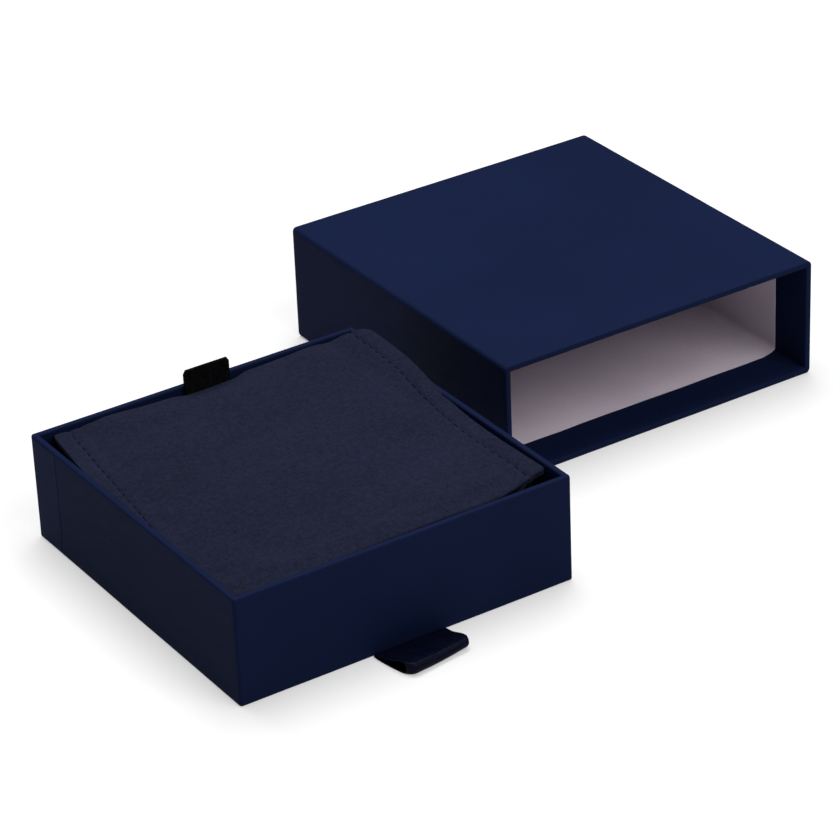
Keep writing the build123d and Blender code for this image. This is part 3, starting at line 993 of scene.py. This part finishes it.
def pull_ribbon_section(share):
    """One thread's way from the base, out on the table, round the fold and back, in mm."""
    reach = mix(PULL_REACH_LEFT, PULL_REACH_RIGHT, share)
    corner = 1.9 if share < 0.5 else 1.3
    inward = min(share, 1 - share) * (PULL_RIGHT - PULL_LEFT)
    if inward < corner:
        reach -= corner - math.sqrt(corner ** 2 - (corner - inward) ** 2)
    lift = 0.55 * ease(0.45, 1.0, share)
    fold = PULL_FOLD * mix(1.0, 0.70, share)
    low = 0.17
    lower = [(-0.15, 0.32), (-1.4, low + 0.05)]
    lower += [(mix(-2.6, -(reach - fold), s), low + lift * s) for s in spaced(0, 1, 8)]
    turn = [(-(reach - fold) - fold * math.cos(a), low + lift + fold - fold * math.sin(a))
            for a in (math.radians(d) for d in spaced(90, -90, 12))][1:-1]
    top = low + lift + 2 * fold
    upper = [(mix(-(reach - fold), -2.0, s), mix(top, 1.0, ease(-0.05, 0.95, s)))
             for s in spaced(0, 1, 12)]
    upper += [(-1.1, 0.80), (-0.3, 0.66)]
    return lower + turn + upper


class GIFTBOX_OT_pull_ribbon(bpy.types.Operator):
    """Loop the satin pull ribbon at the drawer's front"""
    bl_idname = "gift_box.pull_ribbon"
    bl_label = "Pull Ribbon"

    def execute(self, context):
        ribbon = context.scene.gift_box_ribbon
        shares = spaced(0, 1, 30)
        sections = [pull_ribbon_section(s) for s in shares]
        length = len(sections[0])
        points = []
        for share, section in zip(shares, sections):
            for index, (y, z) in enumerate(section):
                along = index / (length - 1)
                out = min(-y / PULL_REACH_LEFT, 1)
                x = mix(PULL_LEFT + 2.6 * out ** 1.4, PULL_RIGHT + 0.6 * out, share)
                x += 0.5 * (along - 0.5) * out
                ripple = 0.06 * noise.noise(Vector((x * 0.35, y * 0.3, along * 3)))
                points.append(from_corner(x, y, z + ripple * min(-y, 1)))
        faces = [(a * length + b, a * length + b + 1, (a + 1) * length + b + 1,
                  (a + 1) * length + b)
                 for a in range(len(shares) - 1) for b in range(length - 1)]
        mesh = mesh_from("pull_ribbon", points, faces)
        loop = add_piece("pull_ribbon", mesh, "pull_ribbon", "Navy Satin Ribbon",
                         ("pull_ribbon_loop",), 60)
        thicken(loop, ribbon.thickness, 0.0)
        return {"FINISHED"}


def thicken(piece, thickness, offset, rounding=1):
    """Gives a one-layer piece its thickness, with softened edges."""
    solid = piece.modifiers.new("Thickness", "SOLIDIFY")
    solid.thickness = thickness
    solid.offset = offset
    solid.use_even_offset = False
    if rounding:
        smooth = piece.modifiers.new("Soft Edges", "SUBSURF")
        smooth.levels = smooth.render_levels = rounding
    baked(piece)


# ------------------------------------------------------------------ insert
class GIFTBOX_OT_insert(bpy.types.Operator):
    """Finish the lift-out insert and its ribbed ribbon tab"""
    bl_idname = "gift_box.insert"
    bl_label = "Insert"

    def execute(self, context):
        add_tidy("insert_cover", "insert", "Black Flock", 0.5 * MM)
        add_tidy("insert_card", "insert", "Grey Board", 0.1 * MM)
        paint_node("insert_foam", "Black Foam")
        path, reach = lift_ribbon_path()
        rib = context.scene.gift_box_ribbon.rib
        mesh = repeat_along("lift_ribbon_tab", path, "Ribbon Ribs", False,
                            "Black Ribbed Ribbon", reach, pitch=rib, width=rib * 1.12)
        add_piece("lift_ribbon_tab", mesh, "insert", "Black Ribbed Ribbon",
                  ("lift_ribbon",), 70)
        return {"FINISHED"}


def lift_ribbon_path():
    """Where the middle of the black ribbon runs, and half its width at each point."""
    low, high = box_of("lift_ribbon")
    middle = (low.x + high.x) / 2
    half_width = (high.x - low.x) / 2 + 0.25 * MM
    layer = 0.2 * MM
    near, far = high.y - 3 * layer, high.y - layer
    top = high.z - layer
    foot = [(mix(low.y, near, s), low.z + layer) for s in spaced(0, 1, 10)]
    up = [(near, z) for z in spaced(low.z + 2 * layer, top, 40)]
    over = arc((near + layer, top), layer, 180, 0, 4)[1:]
    down = [(far, z) for z in spaced(top, low.z + 2 * layer, 40)][1:]
    path, reach = [], []
    for y, z in foot + up + over + down:
        above = max(z - DRAWER_TOP, 0)
        lean = -0.35 * MM * (above / (5 * MM)) ** 2
        path.append(Vector((middle - 0.2 * MM * above / (5 * MM), y + lean, z)))
        corner = 0.5 * MM
        short = max(z - (top - corner), 0)
        reach.append(half_width - corner + math.sqrt(max(corner ** 2 - short ** 2, 0)))
    return path, reach


# ------------------------------------------------------------------ pouch
POUCH_REST = 20.75                        # mm over the table, where its underside lies
POUCH_WIDTH, POUCH_DEPTH = 87.0, 86.0
FOLD_HALF = 1.6                           # half the height of the fold at the back


def pouch_plan(u, v):
    """Where a point of the pouch lies in the drawer's plan, in mm. u runs from left to right,
    v from the mouth at the front to the fold at the back."""
    left = 4.7 - 10.8 * (1 - v)
    right = 87.6 + 3.7 * ease(0.30, 0.95, v) - 0.6 * math.sin(math.pi * min(v / 0.5, 1))
    front = 3.2 + 3.3 * ease(0.80, 1.0, u)
    back = 91.3 - 2.8 * ease(0.84, 1.0, u)
    x, y = mix(left, right, u), mix(front, back, v)
    radius = {(0, 0): 3.0, (1, 0): 1.2, (0, 1): 0.9, (1, 1): 3.2}
    side, end = int(u > 0.5), int(v > 0.5)
    r = radius[side, end]
    a = r - min(u, 1 - u) * POUCH_WIDTH
    b = r - min(v, 1 - v) * POUCH_DEPTH
    if a > 0 and b > 0:
        shrink = max(a, b) / math.hypot(a, b)
        x += (1 - shrink) * a * (-1 if side else 1)
        y += (1 - shrink) * b * (-1 if end else 1)
    return x, y


def pouch_height(u, v, plump, seam):
    """(top, underside) of the pouch over the table, in mm."""
    front_edge = mix(25.6, 27.2, u) + 0.4 * ease(0.9, 1.0, u)
    back_edge = 26.8 - 0.3 * ease(0, 0.12, u) + 0.8 * ease(0.3, 0.7, u)
    back_edge += 0.3 * ease(0.7, 0.92, u)
    edge = mix(front_edge, back_edge, v)
    right_edge = 27.5 + 1.7 * ease(0.50, 0.74, v) + 0.2 * ease(0.8, 1.0, v)
    edge = mix(edge, right_edge, ease(0.86, 0.985, u))
    side = min(u, 1 - u) * POUCH_WIDTH
    inner = ease(seam + 0.2, seam + 11, side)
    front = ease(0, 7, v * POUCH_DEPTH)
    wave = 0.55 * noise.noise(Vector((u * 2.6, v * 3.8, 4.2)))
    wave += 0.16 * noise.noise(Vector((u * 7.5, v * 6.5, 9.1)))
    top = edge + plump * inner * mix(0.5, 1.0, front) + wave * mix(0.5, 1.0, inner)
    top -= 0.55 * (1 - front) * (1 - ease(0.9, 1.0, u))
    pucker = 0.07 * math.sin(v * POUCH_DEPTH / 3.0 * 2 * math.pi)
    groove = math.exp(-((side - seam) / 0.55) ** 2)
    top -= groove * (0.34 + pucker) * ease(0.0, 3.0, side)
    flange = 2 * 0.64
    deep = ease(seam + 0.2, seam + 7, side)
    under = mix(edge - flange + wave * 0.5, POUCH_REST, deep)
    under = mix(under, max(under, top - flange - 2.2), 1 - ease(0, 5, v * POUCH_DEPTH))
    return top, min(under, top - flange)


def tucked(x, top, depth):
    """Where a point goes that lies a depth under the top of the pouch, once the top has been
    bent down along the left wall, and on along the insert where it reaches it."""
    radius, wall, floor = 0.9, WALL / MM + 0.45, POUCH_REST + 1.7
    over = wall + radius - x
    if over <= 0:
        return x, top - depth
    angle = min(over / radius, math.pi / 2)
    x = wall + radius * (1 - math.sin(angle))
    z = top - radius * (1 - math.cos(angle))
    rest = max(over - radius * math.pi / 2, 0)
    drop = min(rest, max(z - floor, 0))
    depth = min(depth, mix(depth, 1.6, angle / (math.pi / 2)))
    x += (rest - drop) * 0.6 + depth * math.sin(angle)
    return x, max(z - drop - depth * math.cos(angle), POUCH_REST)


def pouch_point(u, v, layer, sizes):
    """A point of the pouch's outer face: layer 1 is the top, -1 the underside, and between
    them the fold at the back."""
    plump, seam = sizes
    x, y = pouch_plan(u, v)
    top, under = pouch_height(u, v, plump, seam)
    side = min(u, 1 - u) * POUCH_WIDTH
    half = mix(0.64, FOLD_HALF, ease(1.0, 12.0, side))
    back = ease(POUCH_DEPTH - 11, POUCH_DEPTH, v * POUCH_DEPTH)
    under = mix(under, top - 2 * half, back)
    reach = half * ease(POUCH_DEPTH - 6, POUCH_DEPTH, v * POUCH_DEPTH)
    y += -reach + (half * math.sqrt(max(1 - layer ** 2, 0)) if v >= 1 else 0)
    x, z = tucked(x, top, (top - under) * (1 - layer) / 2)
    return from_corner(x, y, z)


def pouch_columns():
    """Shares across the pouch, close together over the seams."""
    border = 7.0                # mm from the side edge
    fine = spaced(0, border, 22)
    coarse = spaced(border, POUCH_WIDTH - border, 62)[1:-1]
    rows = fine + coarse + [POUCH_WIDTH - s for s in reversed(fine)]
    return [s / POUCH_WIDTH for s in rows]


def settle(mesh, held, cap, slack):
    """Lets a soft surface swell and settle as cloth from where it is held, no further than a
    cap, and keeps the result in the mesh."""
    last_frame = 20
    cloth_piece = bpy.data.objects.new("settling", mesh)
    bpy.context.scene.collection.objects.link(cloth_piece)
    group = cloth_piece.vertex_groups.new(name="held")
    for index, weight in enumerate(held):
        group.add([index], weight, "REPLACE")
    modifier = cloth_piece.modifiers.new("Cloth", "CLOTH")
    cloth = modifier.settings
    cloth.quality = 6
    cloth.mass = 0.05
    cloth.tension_stiffness = cloth.compression_stiffness = 20
    cloth.shear_stiffness = 8
    cloth.bending_stiffness = 0.6
    cloth.air_damping = 2.0
    cloth.use_pressure = True
    cloth.uniform_pressure_force = 4.0
    cloth.shrink_min = -slack
    cloth.vertex_group_mass = "held"
    cloth.effector_weights.gravity = 0.0
    modifier.collision_settings.use_collision = False
    modifier.point_cache.frame_start = 1
    modifier.point_cache.frame_end = last_frame
    scene = bpy.context.scene
    for frame_number in range(1, last_frame + 1):
        scene.frame_set(frame_number)
    graph = bpy.context.evaluated_depsgraph_get()
    moved = [v.co.copy() for v in cloth_piece.evaluated_get(graph).data.vertices]
    scene.frame_set(1)
    for vertex, place in zip(mesh.vertices, moved):
        step = place - vertex.co
        vertex.co += step * (cap / (cap + step.length))
    bpy.data.objects.remove(cloth_piece)


def kept_clear(mesh):
    """Moves a soft surface out of what it lies on and against: the insert's top, the ribbon
    tab behind it and the drawer's right and back walls."""
    gap = 0.1 * MM
    before_tab = 1.2 * MM       # kept this far before the back of the tab
    dip_start, dip_end = 0.5 * MM, 5 * MM       # beside the tab, where its dip fades out
    squeezed = 4 * MM           # depth of the back edge that is pressed together
    beyond = 0.2 * MM           # the unpressed edge is taken to reach this far past the wall
    rest = box_of("insert_cover")[1].z + gap
    tab_low, tab_high = box_of("lift_ribbon")
    wall = DRAWER_HIGH.x - WALL - LIFT - gap
    back = DRAWER_HIGH.y - WALL - LIFT - gap
    rim = DRAWER_TOP + LIFT + gap
    for vertex in mesh.vertices:
        x, y, z = vertex.co
        z = max(z, rest)
        if x > wall and z < rim:
            if x - wall < rim - z:
                x = wall
            else:
                z = rim
        beside = max(tab_low.x - x, x - tab_high.x, 0)
        limit = mix(tab_high.y - before_tab, back, ease(dip_start, dip_end, beside))
        start = limit - squeezed
        if y > start:
            y = start + (y - start) * (limit - start) / (back + beyond - start)
        vertex.co = (x, y, z)


class GIFTBOX_OT_pouch(bpy.types.Operator):
    """Lay the soft stitched pouch on the insert"""
    bl_idname = "gift_box.pouch"
    bl_label = "Pouch"

    def execute(self, context):
        pouch = context.scene.gift_box_pouch
        sizes = (pouch.plump / MM, pouch.seam / MM)
        columns = pouch_columns()
        top = [(v, 1.0) for v in spaced(0, 1, 84)]
        fold = [(1.0, math.cos(math.radians(a))) for a in spaced(0, 180, 12)][1:-1]
        under = [(v, -1.0) for v in reversed(spaced(0, 1, 60))]
        rows = top + fold + under
        points = [pouch_point(u, v, layer, sizes) for v, layer in rows for u in columns]
        width = len(columns)
        faces = [(r * width + c, r * width + c + 1, (r + 1) * width + c + 1,
                  (r + 1) * width + c)
                 for r in range(len(rows) - 1) for c in range(width - 1)]
        mesh = mesh_from("pouch", points, faces)
        settle(mesh, [self.held(u, v, sizes) for v, _ in rows for u in columns],
               pouch.settle, pouch.slack)
        kept_clear(mesh)
        shell = add_piece("pouch", mesh, "pouch", "Navy Suede", ("pouch_shell",), 80)
        thicken(shell, pouch.suede, -1.0, 0)
        add_piece("pouch_wadding", pouch_wadding(sizes), "pouch", "White Wadding",
                  ("pouch_pad",))
        self.sew(pouch, sizes)
        return {"FINISHED"}

    @staticmethod
    def held(u, v, sizes):
        """1 where stitches or the mouth's edge hold the suede, 0 where it is free."""
        near, far = 0.6, 4.0                        # mm inside the seam
        mouth_near, mouth_far = 1.0, 6.0            # mm inside the mouth's edge
        side = min(u, 1 - u) * POUCH_WIDTH
        free = (ease(sizes[1] + near, sizes[1] + far, side)
                * ease(mouth_near, mouth_far, v * POUCH_DEPTH))
        return 1 - free

    @staticmethod
    def sew(pouch, sizes):
        """A row of stitches along each side seam, on the top."""
        stitches = bmesh.new()
        seam = sizes[1] / POUCH_WIDTH
        first, last = 0.03, 0.96                    # shares of the pouch's depth
        for number, share in enumerate((seam, 1 - seam)):
            path = [pouch_point(share, v, 1.0, sizes) for v in spaced(first, last, 120)]
            row = repeat_along(f"stitch_row_{number}", path, "Stitch Row", True, "Navy Thread",
                               pitch=pouch.stitch_pitch, length=pouch.stitch,
                               width=pouch.thread, seed=number + 3)
            stitches.from_mesh(row)
        mesh = bpy.data.meshes.new("pouch_stitching")
        stitches.to_mesh(mesh)
        stitches.free()
        add_piece("pouch_stitching", mesh, "pouch", "Navy Thread",
                  ("pouch_stitches",))


def pouch_wadding(sizes):
    """Soft filling between the two layers."""
    rows, columns = 40, 40
    left, right = 0.10, 0.90    # shares of the pouch's width
    first, last = 0.09, 0.955   # shares of its depth
    rounding = 3.0              # mm from the filling's edge to its full thickness
    cover = 0.95 * MM           # between the filling and the pouch's surface
    edge_share = 0.25           # share of the thickness left at the edge
    points = []
    for layer in (1.0, -1.0):
        for v in spaced(first, last, rows):
            for u in spaced(left, right, columns):
                point = pouch_point(u, v, layer, sizes)
                edge = min(u - left, right - u) * POUCH_WIDTH
                end = min(v - first, last - v) * POUCH_DEPTH
                full = ease(0, rounding, min(edge, end))
                middle = (pouch_point(u, v, 1.0, sizes) + pouch_point(u, v, -1.0, sizes)) / 2
                away = point - middle
                inset = Vector((0, 0, -layer * cover))
                points.append(middle + (away + inset) * mix(edge_share, 1.0, full))
    return mesh_from("pouch_wadding", points, slab_faces(rows, columns))


# ------------------------------------------------------------------ stage
class GIFTBOX_OT_stage(bpy.types.Operator):
    """Set the plain floor, the soft lights and the camera"""
    bl_idname = "gift_box.stage"
    bl_label = "Stage"

    def execute(self, context):
        stage = context.scene.gift_box_stage
        self.floor(stage)
        self.lights()
        self.world()
        self.camera(stage)
        context.scene.view_settings.view_transform = "Standard"
        return {"FINISHED"}

    @staticmethod
    def floor(stage):
        """A wide plain floor, a hair under the box."""
        half, drop = 20.0, -0.02 * MM
        corners = [(-half, -half, drop), (half, -half, drop), (half, half, drop),
                   (-half, half, drop)]
        mesh = mesh_from("floor", corners, [(0, 1, 2, 3)])
        material, _, shader = start_material("Plain Floor", Roughness=0.9,
                                             Specular_IOR_Level=0.1)
        shader.inputs["Base Color"].default_value = rgba(stage.floor)
        shader.inputs["Emission Color"].default_value = (1.0, 1.0, 1.0, 1.0)
        shader.inputs["Emission Strength"].default_value = 0.40
        mesh.materials.append(material)
        floor = bpy.data.objects.new("floor", mesh)
        bpy.context.scene.collection.objects.link(floor)

    @staticmethod
    def lights():
        """Two soft lights: place and side in metres, power in watts."""
        aims = {
            "overhead": ((0.12, 0.38, 1.38), 1.2, 34.0),
            "front": ((0.20, -0.92, 0.98), 1.0, 13.0),
        }
        for name, (place, size, power) in aims.items():
            light = bpy.data.lights.new(name, "AREA")
            light.shape = "SQUARE"
            light.size = size
            light.energy = power
            lamp = bpy.data.objects.new(name, light)
            bpy.context.scene.collection.objects.link(lamp)
            lamp.location = place
            lamp.rotation_euler = (-Vector(place)).to_track_quat("-Z", "Y").to_euler()

    @staticmethod
    def world():
        """Faint even light from all round."""
        world = bpy.data.worlds.new("Soft Studio")
        world.use_nodes = True
        background = world.node_tree.nodes["Background"]
        background.inputs["Color"].default_value = (0.96, 0.98, 1.0, 1.0)
        background.inputs["Strength"].default_value = 0.12
        bpy.context.scene.world = world

    @staticmethod
    def camera(stage):
        """The camera, aimed at its target and tipped by its roll."""
        a, e = stage.azimuth, stage.elevation
        back = Vector((math.sin(a) * math.cos(e), -math.cos(a) * math.cos(e), math.sin(e)))
        data = bpy.data.cameras.new("camera")
        data.lens = stage.lens
        data.clip_start, data.clip_end = 0.05, 20
        camera = bpy.data.objects.new("camera", data)
        bpy.context.scene.collection.objects.link(camera)
        camera.location = Vector(stage.target) + back * stage.distance
        camera.rotation_mode = "QUATERNION"
        level = (-back).to_track_quat("-Z", "Y")
        camera.rotation_quaternion = level @ Quaternion((0, 0, 1), stage.roll)
        bpy.context.scene.camera = camera


OPERATORS = (GIFTBOX_OT_sleeve, GIFTBOX_OT_drawer, GIFTBOX_OT_pull_ribbon, GIFTBOX_OT_insert,
             GIFTBOX_OT_pouch, GIFTBOX_OT_stage)


class GIFTBOX_PT_panel(bpy.types.Panel):
    """Buttons and settings for the gift box"""
    bl_idname = "GIFTBOX_PT_panel"
    bl_label = "Gift Box"
    bl_space_type = "VIEW_3D"
    bl_region_type = "UI"
    bl_category = "Gift Box"

    def draw(self, context):
        for operator in OPERATORS:
            self.layout.operator(operator.bl_idname)
        for name, group in SETTINGS.items():
            column = self.layout.box().column()
            column.label(text=group.__doc__)
            for key in group.__annotations__:
                column.prop(getattr(context.scene, name), key)


CLASSES = (*SETTINGS.values(), *OPERATORS, GIFTBOX_PT_panel)


def register():
    """Makes the settings, operators and panel known to Blender."""
    for cls in CLASSES:
        bpy.utils.register_class(cls)
    for name, group in SETTINGS.items():
        setattr(bpy.types.Scene, name, bpy.props.PointerProperty(type=group))


def unregister():
    """Takes them away again."""
    for name in SETTINGS:
        delattr(bpy.types.Scene, name)
    for cls in reversed(CLASSES):
        bpy.utils.unregister_class(cls)


def main():
    """Makes every piece in order."""
    register()
    for operator in OPERATORS:
        category, name = operator.bl_idname.split(".")
        getattr(getattr(bpy.ops, category), name)()


if __name__ == "__main__":
    main()
